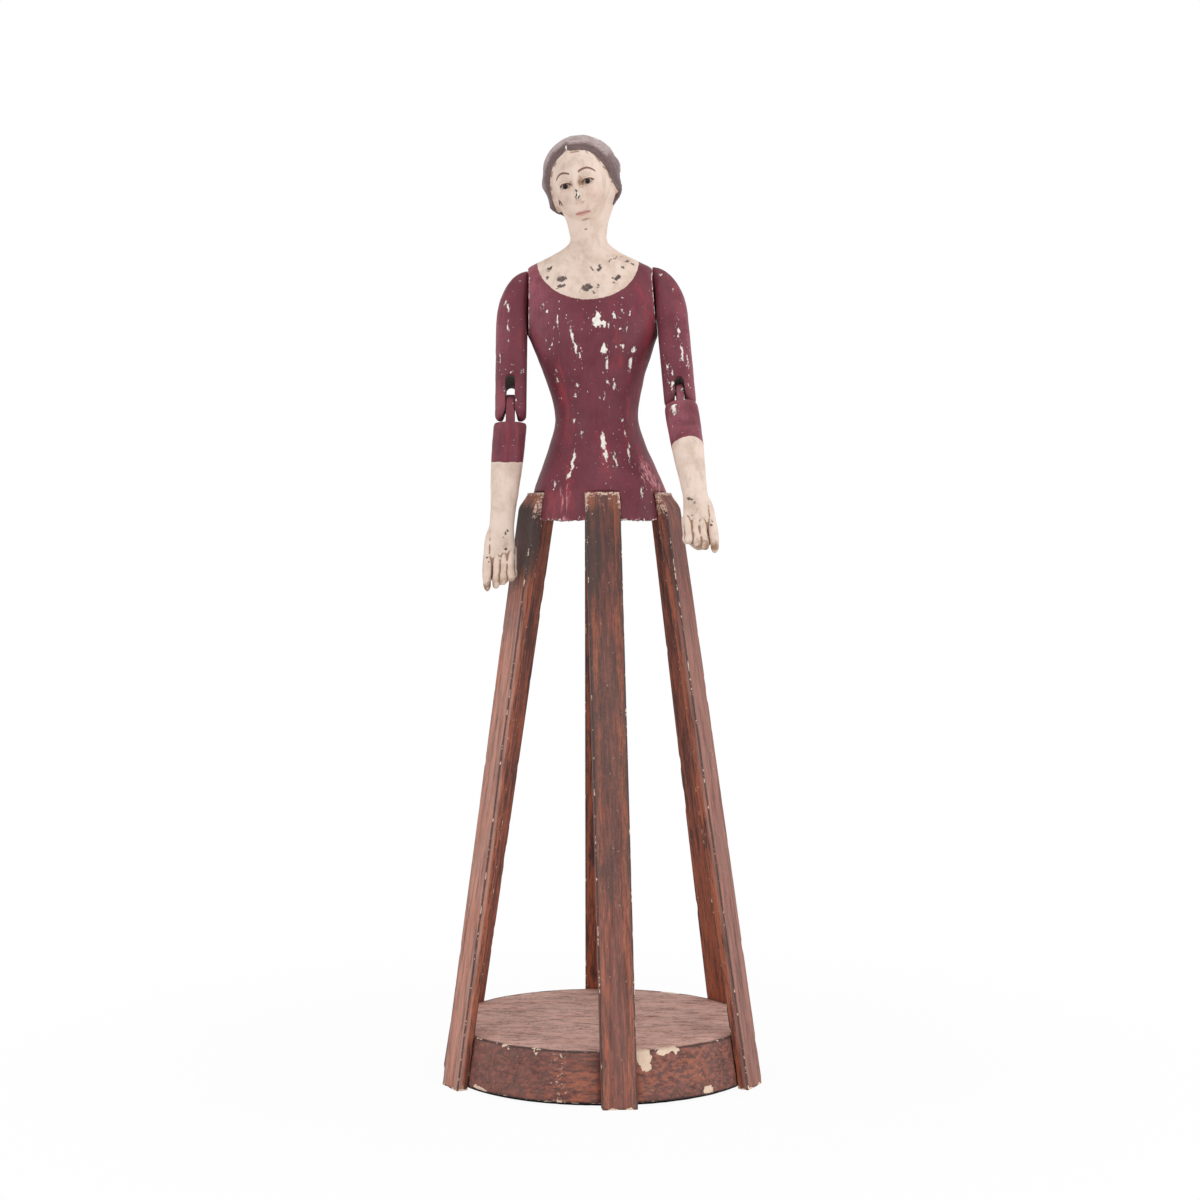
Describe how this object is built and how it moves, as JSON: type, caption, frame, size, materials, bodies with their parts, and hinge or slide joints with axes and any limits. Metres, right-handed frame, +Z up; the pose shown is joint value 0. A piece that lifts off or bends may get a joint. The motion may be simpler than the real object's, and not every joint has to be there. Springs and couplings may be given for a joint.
{
  "type": "cage doll",
  "caption": "Carved half figure with pegged shoulders and pinned elbows, standing on a tapering cage of wooden slats over a round base, for display or for dressing.",
  "frame": {"origin": "on the floor, under the middle of the round base", "axes": "+Z up, -Y the way the figure faces, +X the figure's own left"},
  "size_m": [0.2066, 0.2206, 0.6104],
  "materials": {
    "stained_wood": "worn red-brown stain",
    "burgundy_paint": "satin burgundy paint, chipped to white ground",
    "flesh_paint": "satin flesh paint, crackled",
    "bare_wood": "bare",
    "black_felt": "felt",
    "eye_glass": "polished dark glass"
  },
  "bodies": {
    "figure": {"base_board": "stained_wood", "felt_pad": "black_felt", "slat_front": "stained_wood", "slat_front_left": "stained_wood", "slat_back_left": "stained_wood", "slat_back": "stained_wood", "slat_back_right": "stained_wood", "slat_front_right": "stained_wood", "foot_peg_front": "bare_wood", "top_peg_front": "bare_wood", "foot_peg_front_left": "bare_wood", "top_peg_front_left": "bare_wood", "foot_peg_back_left": "bare_wood", "top_peg_back_left": "bare_wood", "foot_peg_back": "bare_wood", "top_peg_back": "bare_wood", "foot_peg_back_right": "bare_wood", "top_peg_back_right": "bare_wood", "foot_peg_front_right": "bare_wood", "top_peg_front_right": "bare_wood", "torso": "burgundy_paint", "head": "flesh_paint", "glass_eye_left": "eye_glass", "glass_eye_right": "eye_glass", "neck_dowel": "bare_wood", "shoulder_peg_left": "bare_wood", "shoulder_peg_right": "bare_wood"},
    "upper_arm_left": {"upper_arm_left": "burgundy_paint", "elbow_pin_left": "bare_wood"},
    "forearm_left": {"forearm_left": "flesh_paint"},
    "upper_arm_right": {"upper_arm_right": "burgundy_paint", "elbow_pin_right": "bare_wood"},
    "forearm_right": {"forearm_right": "flesh_paint"}
  },
  "joints": [
    {"name": "shoulder_left", "type": "hinge", "parent": "figure", "child": "upper_arm_left", "pos_m": [0.03439, 0.0015, 0.5105], "axis": [-0.9968, 0, -0.0802], "range_deg": [-8, 136]},
    {"name": "elbow_left", "type": "hinge", "parent": "upper_arm_left", "child": "forearm_left", "pos_m": [0.05017, -0.02678, 0.44154], "axis": [-0.9968, 0, -0.0802], "range_deg": [-8, 82]},
    {"name": "shoulder_right", "type": "hinge", "parent": "figure", "child": "upper_arm_right", "pos_m": [-0.0479, 0.0015, 0.508], "axis": [-1, 0, 0.0087], "range_deg": [0, 150]},
    {"name": "elbow_right", "type": "hinge", "parent": "upper_arm_right", "child": "forearm_right", "pos_m": [-0.05875, -0.00901, 0.43333], "axis": [-1, 0, 0.0087], "range_deg": [0, 90]}
  ]
}
